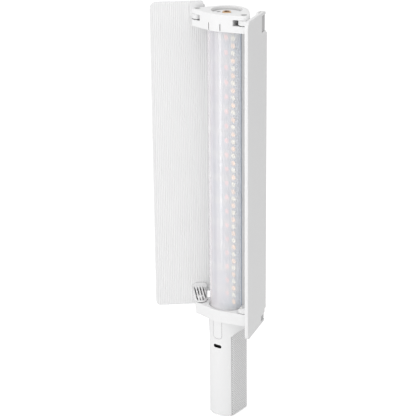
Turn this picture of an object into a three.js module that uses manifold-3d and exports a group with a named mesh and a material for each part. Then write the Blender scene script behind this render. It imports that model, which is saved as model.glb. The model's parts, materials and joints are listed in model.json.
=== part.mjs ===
// Handheld LED light tube with two barn doors, as an assembly of separate pieces.
// Millimetres, +Z up. The origin is the centre of the handle's flat base. The diffuser and the
// charging socket face -Y, and the control panel faces +Y.

import * as THREE from 'three';
import { mergeVertices } from 'three/addons/utils/BufferGeometryUtils.js';
import Module from 'manifold-3d';

const wasm = await Module();
wasm.setup();

// ---------------------------------------------------------------------------------------------
// Driving dimensions
// ---------------------------------------------------------------------------------------------

const BODY_TOP = 430;            // rim of the top cap
const GAP = 0.3;                 // clearance between pieces that are fitted together
const ROUND = 48;                // segments in a large circle
const SMALL_ROUND = 24;          // segments in a small circle

// Handle
const HANDLE_R = 20.1;
const HANDLE_WALL = 1.4;
const HANDLE_TOP = 107.5;
const GRIP_FLAT_X = 14.9;        // half the width across the two grip panels
const GRIP_PANEL_T = 1.1;
const GRIP_PANEL_BOTTOM = 0.9;
const GRIP_EDGE_MARGIN = 0.4;    // between a grip panel's side edge and the edge of the flat
const GRIP_SHOULDER_Z = 91.4;    // where the top arch of a grip panel starts
const GRIP_ARCH_RISE = 5.2;
const BASE_T = 2.6;
const BASE_SCREW_Y = 14.6;

// Charging socket on the front, and the tongue above it
const SOCKET_Z = 79.2;
const SOCKET_W = 8.94;
const SOCKET_H = 3.26;
const SOCKET_DEPTH = 7.3;
const TONGUE_W = 10.4;
const TONGUE_BOTTOM = 88.0;
const TONGUE_T = 0.9;
const TONGUE_CORNER = 3.4;
const TONGUE_BACK_Y = -17;      // behind the tongue's inner face at its side edges

// Battery cells
const CELL_R = 9.1;
const CELL_LENGTH = 65;
const CELL_Y = 9.3;
const CELL_BOTTOM = 5.2;

// Control panel on the back
const PANEL_HALF_W = 8.4;
const PANEL_FACE_Y = 18.2;
const PANEL_T = 1.5;
const PANEL_BOTTOM = 76.6;
const PANEL_TOP = 105.2;
const DIAL_R = 4.5;
const DIAL_Z = 82.6;
const DIAL_SHAFT_R = 1.2;
const BUTTON_R = 1.9;
const BUTTON_Z = 91.0;
const BUTTON_XS = [-5.3, 0, 5.3];
const BUTTON_TRAVEL = 0.5;
const WINDOW_W = 14;
const WINDOW_H = 7.4;
const WINDOW_Z = 99.3;
const CONTROL_BOARD_Y = 10.6;
const BOARD_T = 1.2;             // thickness of every circuit board

// Light tube
const TUBE_R = 19.1;
const TUBE_WALL = 1.7;
const TUBE_BOTTOM = 117.4;
const TUBE_TOP = 417.7;
const DIFFUSER_HALF_ANGLE = THREE.MathUtils.degToRad(78.5);
const HOUSING_START_ANGLE = THREE.MathUtils.degToRad(84.3);
const SEAM_LIP_ANGLE = THREE.MathUtils.degToRad(81.4);      // the spine's edge shows in each seam
const SEAM_LIP_HALF_ANGLE = THREE.MathUtils.degToRad(2.1);
const SEAM_LIP_OUTER_R = 18.6;
const SEAM_LIP_INNER_R = 15.6;
const SEAM_WEB_X = [15.6, 16.9];
const SEAM_WEB_FRONT_Y = -2.6;
const LED_BOARD_Y = -0.6;
const LED_BOARD_HALF_W = 13.4;
const SPINE_HALF_W = 15.2;

// Bracket at the tube's foot and cap at its top share one outline, with an ear for each door
const HEAD_R = 22.0;
const EAR_R = 5.9;
const PIN_X = 27.2;
const PIN_Y = -10.2;
const PIN_R = 2.0;
const BRACKET_BOTTOM = 107.8;
const BRACKET_TOP = 120.6;
const CAP_BOTTOM = 413;
const CAP_EDGE = 2.4;            // rounding of the cap's top edge
const CLEVIS_X = 19.3;           // inner end of the slots that take the upper door arms
const CLEVIS_BOTTOM = 419.6;
const CLEVIS_TOP = 425.6;
const RECESS_R = 15.45;
const RECESS_DEPTH = 3.3;
const INSERT_R = 3.6;
const INSERT_COLLAR_R = 4.1;
const INSERT_COLLAR_H = 1.6;     // above the floor of the recess
const INSERT_BORE_R = 2.7;
const CAP_SCREW_X = 9.5;
const SNAP_HALF_W = 6.6;         // the tab on the cap's front, between two slots
const SNAP_SLOT_W = 0.8;
const SNAP_TOP = 420.5;
const EAR_DIMPLE_R = 3.1;
const EAR_DIMPLE_DEPTH = 2.4;
const LOWER_PIN_BOTTOM = 110.6;
const LOWER_PIN_TOP = 125.0;
const UPPER_PIN_BOTTOM = 413.7;
const UPPER_PIN_TOP = 426.6;
const WASHER_R = 4.4;
const WASHER_T = 0.4;

// Doors: s runs from the hinge pin to the free edge, q runs outwards from the pin
const DOOR_T = 3.3;
const DOOR_FREE_S = 46.1;
const DOOR_HINGE_S = -11;
const DOOR_BOTTOM = 111.9;
const DOOR_TOP = 434.1;
const DOOR_NOTCH_S = -7.9;       // the hinge corners are cut back to here, above and below these heights
const DOOR_NOTCH_TOP_Z = 412.6;
const DOOR_NOTCH_BOTTOM_Z = 124.6;
const DOOR_CHAMFER_H = 5.6;      // slope on the inner face, above the lower notch
const DOOR_TOP_RADIUS = 6.5;
const DOOR_BOTTOM_RADIUS = 5;
const DOOR_HINGE_TOP_RADIUS = 2.6;
const DOOR_HINGE_BOTTOM_RADIUS = 1.8;
const WINDOW_FREE_S = 4.3;       // hinge blocks fill windows that run to the notched edge
const UPPER_WINDOW = [414.8, 431.0];
const LOWER_WINDOW = [114.2, 120.4];
const BLOCK_RECESS = 1.2;        // from the door's outer face to a block's face
const PAD_T = 2.3;
const PAD_HALF_S = 6.9;
const PAD_H = 24;
const PAD_CORNER = 3;
const LUG_R = 5.6;
const RAMP_FRONT_Q = 6.4;        // nose of the lower arm, in front of the pin
const RAMP_NOSE_R = 5.4;
const RAMP_BOTTOM = BRACKET_TOP + 0.8;
const RAMP_TOP = 133.4;
const RAMP_HINGE_S = -7;
const RAMP_FREE_S = 4.8;
const RAMP_LEAN = 0.26;          // shift towards the free edge for each millimetre of height
const SLOT_COUNT = 4;
const SLOT_PITCH = 2.95;
const SLOT_W = 1.5;
const SLOT_DEPTH = 4.4;
const SLOT_FIRST_S = -5.6;
const LEFT_DOOR = { side: -1, restAngle: THREE.MathUtils.degToRad(40.4), innerQ: 12.4 };
const RIGHT_DOOR = { side: 1, restAngle: THREE.MathUtils.degToRad(74.8), innerQ: 16.2 };

// ---------------------------------------------------------------------------------------------
// Materials
// ---------------------------------------------------------------------------------------------

function material(color, roughness, metalness = 0) {
  return new THREE.MeshStandardMaterial({ color, roughness, metalness });
}

const whitePlastic = material(0xf1f2f3, 0.42);
const doorPlastic = material(0xeeeff0, 0.5);
const hingePlastic = material(0xb4b6b8, 0.6);
const gripPlastic = material(0xd6d7d8, 0.62);
const diffuserPlastic = material(0xe4e1ea, 0.28);
const blackPlastic = material(0x141517, 0.4);
const steel = material(0xb9bcc0, 0.3, 1);
const brass = material(0xc98f45, 0.32, 1);
const aluminium = material(0xc3c6ca, 0.38, 1);
const boardGreen = material(0x1f5a3a, 0.55);
const boardWhite = material(0xf3f3ee, 0.5);
const cellWrap = material(0x2f7fb5, 0.4);
const darkGlass = material(0x0c0d10, 0.08);

// ---------------------------------------------------------------------------------------------
// Solids
// ---------------------------------------------------------------------------------------------

function solid(geometry) {
  const bare = geometry.clone();
  bare.deleteAttribute('normal');
  bare.deleteAttribute('uv');
  const merged = mergeVertices(bare, 1e-4);
  const mesh = new wasm.Mesh({
    numProp: 3,
    vertProperties: new Float32Array(merged.attributes.position.array),
    triVerts: new Uint32Array(merged.index.array),
  });
  return new wasm.Manifold(mesh);
}

function geometryOf(manifold) {
  const mesh = manifold.getMesh();
  const geometry = new THREE.BufferGeometry();
  geometry.setAttribute('position', new THREE.BufferAttribute(mesh.vertProperties, 3));
  geometry.setIndex(new THREE.BufferAttribute(mesh.triVerts, 1));
  geometry.computeVertexNormals();
  return geometry;
}

function cut(body, ...tools) {
  return tools.reduce((rest, tool) => rest.subtract(tool), body);
}

function join(body, ...others) {
  return others.reduce((whole, other) => whole.add(other), body);
}

function part(name, body, look) {
  const mesh = new THREE.Mesh(body.isBufferGeometry ? body : geometryOf(body), look);
  mesh.name = name;
  return mesh;
}

function box(x0, x1, y0, y1, z0, z1) {
  const geometry = new THREE.BoxGeometry(x1 - x0, y1 - y0, z1 - z0);
  geometry.translate((x0 + x1) / 2, (y0 + y1) / 2, (z0 + z1) / 2);
  return solid(geometry);
}

// Upright cylinder from z0 to z1
function post(r, z0, z1, x = 0, y = 0, segments = SMALL_ROUND) {
  const geometry = new THREE.CylinderGeometry(r, r, z1 - z0, segments);
  geometry.rotateX(Math.PI / 2);
  geometry.translate(x, y, (z0 + z1) / 2);
  return solid(geometry);
}

// Cylinder along Y from y0 to y1
function rod(r, y0, y1, x, z, segments = SMALL_ROUND) {
  const geometry = new THREE.CylinderGeometry(r, r, y1 - y0, segments);
  geometry.translate(x, (y0 + y1) / 2, z);
  return solid(geometry);
}

// Radius of a round hole whose flats clear a round shaft
function boreRadius(shaftR, clearance, segments = SMALL_ROUND) {
  return (shaftR + clearance) / Math.cos(Math.PI / segments);
}

// Shape in (x, y), raised from z0 to z1
function prismZ(shape, z0, z1, curveSegments = 16) {
  const geometry = new THREE.ExtrudeGeometry(shape, {
    depth: z1 - z0,
    bevelEnabled: false,
    curveSegments,
  });
  geometry.translate(0, 0, z0);
  return solid(geometry);
}

// Shape in (x, z), raised from y0 to y1
function prismY(shape, y0, y1, curveSegments = 6) {
  const geometry = new THREE.ExtrudeGeometry(shape, {
    depth: y1 - y0,
    bevelEnabled: false,
    curveSegments,
  });
  geometry.rotateX(Math.PI / 2);
  geometry.translate(0, y1, 0);
  return solid(geometry);
}

// Shape in (y, z), raised from x0 to x1
function prismX(shape, x0, x1, curveSegments = 10) {
  const geometry = new THREE.ExtrudeGeometry(shape, {
    depth: x1 - x0,
    bevelEnabled: false,
    curveSegments,
  });
  const turn = new THREE.Matrix4().makeBasis(
    new THREE.Vector3(0, 1, 0),
    new THREE.Vector3(0, 0, 1),
    new THREE.Vector3(1, 0, 0),
  );
  geometry.applyMatrix4(turn);
  geometry.translate(x0, 0, 0);
  return solid(geometry);
}

// Rectangle with one radius at each corner, in the order low-left, low-right, high-right, high-left
function roundedRect(x0, x1, y0, y1, r00, r10 = r00, r11 = r00, r01 = r00) {
  const shape = new THREE.Shape();
  shape.moveTo(x0 + r00, y0);
  shape.lineTo(x1 - r10, y0);
  if (r10 > 0) shape.absarc(x1 - r10, y0 + r10, r10, -Math.PI / 2, 0);
  shape.lineTo(x1, y1 - r11);
  if (r11 > 0) shape.absarc(x1 - r11, y1 - r11, r11, 0, Math.PI / 2);
  shape.lineTo(x0 + r01, y1);
  if (r01 > 0) shape.absarc(x0 + r01, y1 - r01, r01, Math.PI / 2, Math.PI);
  shape.lineTo(x0, y0 + r00);
  if (r00 > 0) shape.absarc(x0 + r00, y0 + r00, r00, Math.PI, Math.PI * 1.5);
  return shape;
}

// Closed outline between two radii, over half an angle each way from a middle direction
function arcBand(outerR, innerR, middleAngle, halfAngle) {
  const shape = new THREE.Shape();
  shape.absarc(0, 0, outerR, middleAngle - halfAngle, middleAngle + halfAngle, false);
  shape.absarc(0, 0, innerR, middleAngle + halfAngle, middleAngle - halfAngle, true);
  return shape;
}

// ---------------------------------------------------------------------------------------------
// Handle
// ---------------------------------------------------------------------------------------------

// Half the width of the flat that a grip panel lies on
const gripHalfWidth = Math.sqrt(HANDLE_R ** 2 - GRIP_FLAT_X ** 2);

// Side view of a grip panel, in (y, z): straight sides and an arched top
function gripOutline() {
  const halfWidth = gripHalfWidth - GRIP_EDGE_MARGIN;
  const shape = new THREE.Shape();
  shape.moveTo(-halfWidth, GRIP_PANEL_BOTTOM);
  shape.lineTo(halfWidth, GRIP_PANEL_BOTTOM);
  shape.lineTo(halfWidth, GRIP_SHOULDER_Z);
  shape.absellipse(0, GRIP_SHOULDER_Z, halfWidth, GRIP_ARCH_RISE, 0, Math.PI);
  return shape;
}

// Side view of the cut that flattens the handle behind a grip panel
function gripPocketOutline() {
  const archHalfWidth = gripHalfWidth - GRIP_EDGE_MARGIN + GAP;
  const shape = new THREE.Shape();
  shape.moveTo(-HANDLE_R, -1);
  shape.lineTo(HANDLE_R, -1);
  shape.lineTo(HANDLE_R, GRIP_SHOULDER_Z);
  shape.lineTo(archHalfWidth, GRIP_SHOULDER_Z);
  shape.absellipse(0, GRIP_SHOULDER_Z, archHalfWidth, GRIP_ARCH_RISE + GAP, 0, Math.PI);
  shape.lineTo(-HANDLE_R, GRIP_SHOULDER_Z);
  return shape;
}

function tongueOutline(clearance) {
  const half = TONGUE_W / 2 + clearance;
  const corner = TONGUE_CORNER + clearance;
  return roundedRect(-half, half, TONGUE_BOTTOM - clearance, HANDLE_TOP + clearance, corner, corner, 0, 0);
}

function socketOutline(width, height) {
  const r = height / 2 - 0.01;
  const x = width / 2;
  return roundedRect(-x, x, SOCKET_Z - height / 2, SOCKET_Z + height / 2, r);
}

function handleShell() {
  const pocketDepthX = GRIP_FLAT_X - GRIP_PANEL_T - GAP;
  const innerR = HANDLE_R - HANDLE_WALL;
  const outside = cut(
    post(HANDLE_R, 0, HANDLE_TOP, 0, 0, ROUND),
    prismX(gripPocketOutline(), pocketDepthX, HANDLE_R + 1),
    prismX(gripPocketOutline(), -HANDLE_R - 1, -pocketDepthX),
  );
  const innerHalfX = pocketDepthX - HANDLE_WALL;
  const hollow = post(innerR, -1, HANDLE_TOP + 1, 0, 0, ROUND)
    .intersect(box(-innerHalfX, innerHalfX, -HANDLE_R, HANDLE_R, -1, HANDLE_TOP + 1));
  const tongueRecess = prismY(tongueOutline(GAP), -HANDLE_R - 1, TONGUE_BACK_Y)
    .subtract(post(HANDLE_R - TONGUE_T - GAP, TONGUE_BOTTOM - 2, HANDLE_TOP + 2, 0, 0, ROUND));
  const socketHole = prismY(socketOutline(SOCKET_W + 2 * GAP, SOCKET_H + 2 * GAP), -HANDLE_R - 1, -CELL_R);
  const panelHole = box(
    -PANEL_HALF_W - GAP, PANEL_HALF_W + GAP,
    innerR / 2, HANDLE_R + 1,
    PANEL_BOTTOM - GAP, PANEL_TOP + GAP,
  );
  return part('handle_shell', cut(outside, hollow, tongueRecess, socketHole, panelHole), whitePlastic);
}

// A grip panel is a flat plate let into one side of the handle
function gripPanel(name, side) {
  const innerX = GRIP_FLAT_X - GRIP_PANEL_T;
  const [x0, x1] = side > 0 ? [innerX, GRIP_FLAT_X] : [-GRIP_FLAT_X, -innerX];
  return part(name, prismX(gripOutline(), x0, x1), gripPlastic);
}

// The base closes the handle: a disc that fits inside the shell, its underside level with the rim
function baseCap() {
  const pocketDepthX = GRIP_FLAT_X - GRIP_PANEL_T - GAP;
  const halfX = pocketDepthX - HANDLE_WALL - GAP;
  const disc = post(HANDLE_R - HANDLE_WALL - GAP, 0, BASE_T, 0, 0, ROUND)
    .intersect(box(-halfX, halfX, -HANDLE_R, HANDLE_R, -1, BASE_T + 1));
  const headHoleR = 2.0;
  const headHoleTop = 1.4;
  const shankHoleR = 1.2;
  const holes = [-1, 1].map((side) => join(
    post(headHoleR, -1, headHoleTop, 0, side * BASE_SCREW_Y),
    post(shankHoleR, -1, BASE_T + 1, 0, side * BASE_SCREW_Y),
  ));
  return part('base_cap', cut(disc, ...holes), whitePlastic);
}

// Small screw with a cross in its head. It points along +Z or -Z from the face of its head.
function screw(name, x, y, face, headR, length, way) {
  const headT = 0.8;
  const shankR = 0.9;
  const driveDepth = 0.45;
  const level = (depth) => face + way * depth;
  const span = (from, to) => [Math.min(level(from), level(to)), Math.max(level(from), level(to))];
  const head = post(headR, ...span(0, headT), x, y, 16);
  const shank = post(shankR, ...span(headT - 0.01, length), x, y, 12);
  const drive = [0, 1].map((turn) => {
    const long = headR * 0.62;
    const thin = headR * 0.16;
    const [halfX, halfY] = turn ? [thin, long] : [long, thin];
    return box(x - halfX, x + halfX, y - halfY, y + halfY, ...span(-1, driveDepth));
  });
  return part(name, cut(join(head, shank), ...drive), steel);
}

function tongue() {
  const shell = post(HANDLE_R, TONGUE_BOTTOM - 1, HANDLE_TOP, 0, 0, ROUND)
    .subtract(post(HANDLE_R - TONGUE_T, TONGUE_BOTTOM - 2, HANDLE_TOP + 1, 0, 0, ROUND));
  const block = prismY(tongueOutline(0), -HANDLE_R - 1, TONGUE_BACK_Y);
  return part('front_tongue', block.intersect(shell), whitePlastic);
}

// Charging socket: a drawn metal can, open to the front, with a centre blade of plastic inside
function socketShell() {
  const wall = 0.32;
  const front = -HANDLE_R + 0.5;
  const back = front + SOCKET_DEPTH;
  const can = prismY(socketOutline(SOCKET_W, SOCKET_H), front, back);
  const inside = prismY(socketOutline(SOCKET_W - 2 * wall, SOCKET_H - 2 * wall), front - 1, back - 1.2);
  return part('socket_shell', can.subtract(inside), steel);
}

function socketBlade() {
  const front = -HANDLE_R + 1.6;
  const back = -HANDLE_R + 0.5 + SOCKET_DEPTH - 1.2 - GAP;
  return part('socket_blade', box(-3.35, 3.35, front, back, SOCKET_Z - 0.35, SOCKET_Z + 0.35), blackPlastic);
}

function batteryCell(name, y) {
  const wrapTop = CELL_BOTTOM + CELL_LENGTH;
  const nubR = 2.9;
  const nubH = 0.8;
  const edge = 0.5;
  const profile = [
    new THREE.Vector2(0, CELL_BOTTOM),
    new THREE.Vector2(CELL_R - edge, CELL_BOTTOM),
    new THREE.Vector2(CELL_R, CELL_BOTTOM + edge),
    new THREE.Vector2(CELL_R, wrapTop - nubH - edge),
    new THREE.Vector2(CELL_R - edge, wrapTop - nubH),
    new THREE.Vector2(nubR, wrapTop - nubH),
    new THREE.Vector2(nubR, wrapTop),
    new THREE.Vector2(0, wrapTop),
  ];
  const geometry = new THREE.LatheGeometry(profile, SMALL_ROUND);
  geometry.rotateX(Math.PI / 2);
  geometry.translate(0, y, 0);
  return part(name, solid(geometry), cellWrap);
}

// Contact plates press on both ends of the two cells
function contactPlate(name, z) {
  const plateT = 0.8;
  const halfX = 8;
  const screwNotchR = 2.4;
  const plate = post(HANDLE_R - HANDLE_WALL - 1, z, z + plateT)
    .intersect(box(-halfX, halfX, -HANDLE_R, HANDLE_R, z - 1, z + 2));
  const notches = [-1, 1].map((side) => post(screwNotchR, z - 1, z + 2, 0, side * BASE_SCREW_Y, 20));
  return part(name, z < CELL_BOTTOM ? cut(plate, ...notches) : plate, brass);
}

// The charge board lies flat under the socket
function chargeBoard() {
  const top = SOCKET_Z - SOCKET_H / 2 - GAP;
  const board = post(HANDLE_R - HANDLE_WALL - 0.6, top - BOARD_T, top, 0, 0, ROUND)
    .intersect(box(-11, 11, -HANDLE_R, 7.5, top - 2, top + 1));
  return part('charge_board', board, boardGreen);
}

function controlBoard() {
  const board = box(
    -8.6, 8.6,
    CONTROL_BOARD_Y, CONTROL_BOARD_Y + BOARD_T,
    PANEL_BOTTOM + 1, PANEL_TOP - 1,
  );
  return part('control_board', board, boardGreen);
}

function controlPanel() {
  const back = PANEL_FACE_Y - PANEL_T;
  const plate = prismY(
    roundedRect(-PANEL_HALF_W, PANEL_HALF_W, PANEL_BOTTOM, PANEL_TOP, 0.8),
    back, PANEL_FACE_Y,
  );
  const windowHole = box(
    -WINDOW_W / 2 - GAP, WINDOW_W / 2 + GAP,
    back - 1, PANEL_FACE_Y + 1,
    WINDOW_Z - WINDOW_H / 2 - GAP, WINDOW_Z + WINDOW_H / 2 + GAP,
  );
  const dialHole = rod(DIAL_R + GAP, back - 1, PANEL_FACE_Y + 1, 0, DIAL_Z);
  const buttonHoles = BUTTON_XS.map((x) => rod(BUTTON_R + 0.2, back - 1, PANEL_FACE_Y + 1, x, BUTTON_Z));
  return part('control_panel', cut(plate, windowHole, dialHole, ...buttonHoles), blackPlastic);
}

function displayWindow() {
  const front = PANEL_FACE_Y - 0.1;
  const pane = box(
    -WINDOW_W / 2, WINDOW_W / 2, front - 1, front,
    WINDOW_Z - WINDOW_H / 2, WINDOW_Z + WINDOW_H / 2,
  );
  return part('display_window', pane, darkGlass);
}

function displayModule() {
  const back = CONTROL_BOARD_Y + BOARD_T + GAP;
  const front = PANEL_FACE_Y - PANEL_T - GAP;
  const module = box(-WINDOW_W / 2, WINDOW_W / 2, back, front, WINDOW_Z - 4, WINDOW_Z + 4);
  return part('display_module', module, blackPlastic);
}

// Each button has a wider foot behind the panel, so it can't fall out
function button(name, x) {
  const footTop = PANEL_FACE_Y - PANEL_T - GAP;
  const cap = rod(BUTTON_R, footTop - 0.5, PANEL_FACE_Y + 0.7, x, BUTTON_Z, 16);
  const foot = rod(BUTTON_R + 0.5, footTop - 0.9, footTop, x, BUTTON_Z, 16);
  return part(name, join(cap, foot), whitePlastic);
}

function tactSwitch(name, x) {
  const back = CONTROL_BOARD_Y + BOARD_T + GAP;
  const front = PANEL_FACE_Y - PANEL_T - GAP - 0.9 - BUTTON_TRAVEL - 0.2;
  const body = box(x - 2.2, x + 2.2, back, front - 0.6, BUTTON_Z - 2.2, BUTTON_Z + 2.2);
  const plunger = rod(1, front - 0.7, front, x, BUTTON_Z, 16);
  return part(name, join(body, plunger), steel);
}

// The dial is a short knob with a milled edge, on the shaft of a rotary encoder
function dialKnob() {
  const front = PANEL_FACE_Y + 2.4;
  const back = PANEL_FACE_Y - PANEL_T - 0.4;
  const knob = rod(DIAL_R, back, front, 0, DIAL_Z, 36);
  const grooves = [];
  const grooveCount = 12;
  for (let i = 0; i < grooveCount; i += 1) {
    const angle = (i + 0.5) * (2 * Math.PI / grooveCount);
    const x = (DIAL_R + 0.15) * Math.cos(angle);
    const z = DIAL_Z + (DIAL_R + 0.15) * Math.sin(angle);
    grooves.push(rod(0.4, PANEL_FACE_Y + 0.3, front + 1, x, z, 6));
  }
  const dimple = rod(2.6, front - 0.35, front + 1, 0, DIAL_Z, 16);
  const shaft = rod(DIAL_SHAFT_R, back - 1.6, back + 0.1, 0, DIAL_Z, 20);
  return part('dial_knob', cut(join(knob, shaft), dimple, ...grooves), blackPlastic);
}

function dialEncoder() {
  const back = CONTROL_BOARD_Y + BOARD_T + GAP;
  const front = PANEL_FACE_Y - PANEL_T - 0.4 - GAP;
  const body = box(-4.2, 4.2, back, front, DIAL_Z - 4.2, DIAL_Z + 4.2);
  const bore = rod(boreRadius(DIAL_SHAFT_R, 0.1, 20), back + 0.6, front + 1, 0, DIAL_Z, 20);
  return part('dial_encoder', cut(body, bore), steel);
}

// ---------------------------------------------------------------------------------------------
// Bracket and cap
// ---------------------------------------------------------------------------------------------

// Outline shared by the bracket and the cap: the round head with a tangent ear at each pin
function headOutline() {
  const pinDistance = Math.hypot(PIN_X, PIN_Y);
  const pinAngle = Math.atan2(PIN_Y, PIN_X);
  const lean = Math.acos((HEAD_R - EAR_R) / pinDistance);
  const shape = new THREE.Shape();
  shape.absarc(0, 0, HEAD_R, pinAngle + lean, Math.PI - pinAngle - lean, false);
  shape.absarc(-PIN_X, PIN_Y, EAR_R, Math.PI - pinAngle - lean, Math.PI - pinAngle + lean, false);
  shape.absarc(0, 0, HEAD_R, Math.PI - pinAngle + lean, 2 * Math.PI + pinAngle - lean, false);
  shape.absarc(PIN_X, PIN_Y, EAR_R, pinAngle - lean, pinAngle + lean, false);
  return shape;
}

function lowerBracket() {
  const body = prismZ(headOutline(), BRACKET_BOTTOM, BRACKET_TOP, 12);
  const spigotX = GRIP_FLAT_X - GRIP_PANEL_T - 2 * GAP - HANDLE_WALL;
  const spigotR = HANDLE_R - HANDLE_WALL - GAP;
  const spigot = post(spigotR, PANEL_TOP + 0.9, BRACKET_BOTTOM + 0.1, 0, 0, ROUND)
    .intersect(box(-spigotX, spigotX, -HANDLE_R, HANDLE_R, PANEL_TOP, BRACKET_BOTTOM + 1));
  const tubeSeat = post(TUBE_R + GAP, TUBE_BOTTOM - GAP, BRACKET_TOP + 1, 0, 0, ROUND);
  const cableBore = post(8, PANEL_TOP - 1, BRACKET_TOP + 1);
  const pinHoles = [-1, 1].map((side) => post(
    boreRadius(PIN_R, 0.1), LOWER_PIN_BOTTOM - GAP, BRACKET_TOP + 1, side * PIN_X, PIN_Y,
  ));
  return part('lower_bracket', cut(join(body, spigot), tubeSeat, cableBore, ...pinHoles), whitePlastic);
}

function topCap() {
  const bevelled = new THREE.ExtrudeGeometry(headOutline(), {
    depth: BODY_TOP - CAP_BOTTOM,
    bevelEnabled: true,
    bevelThickness: CAP_EDGE,
    bevelSize: CAP_EDGE,
    bevelOffset: -CAP_EDGE,
    bevelSegments: 2,
    curveSegments: 12,
  });
  bevelled.translate(0, 0, CAP_BOTTOM - CAP_EDGE);
  const body = solid(bevelled).subtract(
    box(-PIN_X * 2, PIN_X * 2, -HEAD_R * 2, HEAD_R * 2, CAP_BOTTOM - 2 * CAP_EDGE, CAP_BOTTOM),
  );
  const floor = BODY_TOP - RECESS_DEPTH;
  const recess = post(RECESS_R, floor, BODY_TOP + 1, 0, 0, ROUND);
  const skirt = post(TUBE_R + GAP, CAP_BOTTOM - 1, TUBE_TOP + GAP, 0, 0, ROUND);
  const cavityTop = floor - 2.2;
  const cavity = cut(
    post(HEAD_R - 5, TUBE_TOP, cavityTop, 0, 0, 36),
    post(INSERT_R + 2, TUBE_TOP - 1, cavityTop + 1),
    post(3, TUBE_TOP - 1, cavityTop + 1, -CAP_SCREW_X, 0, 12),
    post(3, TUBE_TOP - 1, cavityTop + 1, CAP_SCREW_X, 0, 12),
  );
  const insertHole = join(
    post(INSERT_COLLAR_R + GAP, floor - 0.9, BODY_TOP + 1),
    post(INSERT_R + GAP, floor - 6.3, BODY_TOP + 1),
  );
  const cuts = [recess, skirt, cavity, insertHole];
  for (const side of [-1, 1]) {
    const [x0, x1] = side > 0 ? [CLEVIS_X, PIN_X * 2] : [-PIN_X * 2, -CLEVIS_X];
    cuts.push(box(x0, x1, -HEAD_R * 2, HEAD_R * 2, CLEVIS_BOTTOM, CLEVIS_TOP));
    cuts.push(post(boreRadius(PIN_R, 0.1), CAP_BOTTOM - 1, UPPER_PIN_TOP + GAP, side * PIN_X, PIN_Y));
    cuts.push(post(EAR_DIMPLE_R, BODY_TOP - EAR_DIMPLE_DEPTH, BODY_TOP + 1, side * PIN_X, PIN_Y));
    cuts.push(post(1.9, floor - 0.9, BODY_TOP + 1, side * CAP_SCREW_X, 0, 16));
    cuts.push(post(1.2, TUBE_TOP - 1, BODY_TOP, side * CAP_SCREW_X, 0, 12));
    cuts.push(box(
      side * SNAP_HALF_W - SNAP_SLOT_W / 2, side * SNAP_HALF_W + SNAP_SLOT_W / 2,
      -HEAD_R - 1, -TUBE_R + 1,
      CAP_BOTTOM - 1, SNAP_TOP,
    ));
  }
  return part('top_cap', cut(body, ...cuts), whitePlastic);
}

// Threaded brass bush with a collar, set in the middle of the cap's recess
function topInsert() {
  const floor = BODY_TOP - RECESS_DEPTH;
  const collarTop = floor + INSERT_COLLAR_H;
  const bush = join(
    post(INSERT_R, floor - 6, collarTop),
    post(INSERT_COLLAR_R, floor - 0.6, collarTop),
  );
  const bore = post(INSERT_BORE_R, floor - 7, collarTop + 1);
  return part('top_insert', bush.subtract(bore), brass);
}

function hingePin(name, side, z0, z1) {
  return part(name, post(PIN_R, z0, z1, side * PIN_X, PIN_Y), steel);
}

function hingeWasher(name, side, z) {
  const ring = post(WASHER_R, z, z + WASHER_T, side * PIN_X, PIN_Y)
    .subtract(post(boreRadius(PIN_R, 0.15), z - 1, z + 2, side * PIN_X, PIN_Y));
  return part(name, ring, steel);
}

// ---------------------------------------------------------------------------------------------
// Light tube
// ---------------------------------------------------------------------------------------------

function diffuser() {
  const band = arcBand(TUBE_R, TUBE_R - TUBE_WALL, -Math.PI / 2, DIFFUSER_HALF_ANGLE);
  return part('diffuser', prismZ(band, TUBE_BOTTOM, TUBE_TOP, 24), diffuserPlastic);
}

// The back of the tube, with two inward rails that carry the spine
function tubeHousing() {
  const halfAngle = Math.PI - HOUSING_START_ANGLE;
  const band = prismZ(
    arcBand(TUBE_R, TUBE_R - TUBE_WALL, Math.PI / 2, halfAngle),
    TUBE_BOTTOM, TUBE_TOP, 24,
  );
  const railHalfW = 0.9;
  const rails = [-1, 1].map((side) => {
    const x = side * SPINE_HALF_W;
    return box(x - railHalfW, x + railHalfW, 5.6, 9.6, TUBE_BOTTOM, TUBE_TOP);
  });
  return part('tube_housing', join(band, ...rails), whitePlastic);
}

// Aluminium spine: a flat bed for the LED board with three cooling fins behind it, and on each side
// a web with a lip that fills the seam between the diffuser and the housing
function ledSpine() {
  const bedY = LED_BOARD_Y + BOARD_T + GAP;
  const bedT = 2;
  const finPitch = 9;
  const finHalfT = 0.9;
  const finBackY = bedY + 9;
  const [z0, z1] = [TUBE_BOTTOM + 1, TUBE_TOP - 1];
  const [webX0, webX1] = SEAM_WEB_X;
  const bed = box(-webX1, webX1, bedY, bedY + bedT, z0, z1);
  const edges = [-1, 1].map((side) => {
    const [x0, x1] = side > 0 ? [webX0, webX1] : [-webX1, -webX0];
    const lip = arcBand(
      SEAM_LIP_OUTER_R, SEAM_LIP_INNER_R,
      -Math.PI / 2 + side * SEAM_LIP_ANGLE, SEAM_LIP_HALF_ANGLE,
    );
    return join(box(x0, x1, SEAM_WEB_FRONT_Y, bedY + bedT, z0, z1), prismZ(lip, z0, z1, 4));
  });
  const fins = [-finPitch, 0, finPitch].map((x) => (
    box(x - finHalfT, x + finHalfT, bedY + bedT - 0.1, finBackY, z0, z1)
  ));
  return part('led_spine', join(bed, ...edges, ...fins), aluminium);
}

function ledBoard() {
  const board = box(
    -LED_BOARD_HALF_W, LED_BOARD_HALF_W,
    LED_BOARD_Y, LED_BOARD_Y + BOARD_T,
    TUBE_BOTTOM + 2, TUBE_TOP - 2,
  );
  return part('led_board', board, boardWhite);
}

function driverBoard() {
  const backY = 6.2;
  const board = box(-7.4, -1.6, backY, backY + BOARD_T, TUBE_BOTTOM + 10, TUBE_BOTTOM + 110);
  return part('driver_board', board, boardGreen);
}

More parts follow.
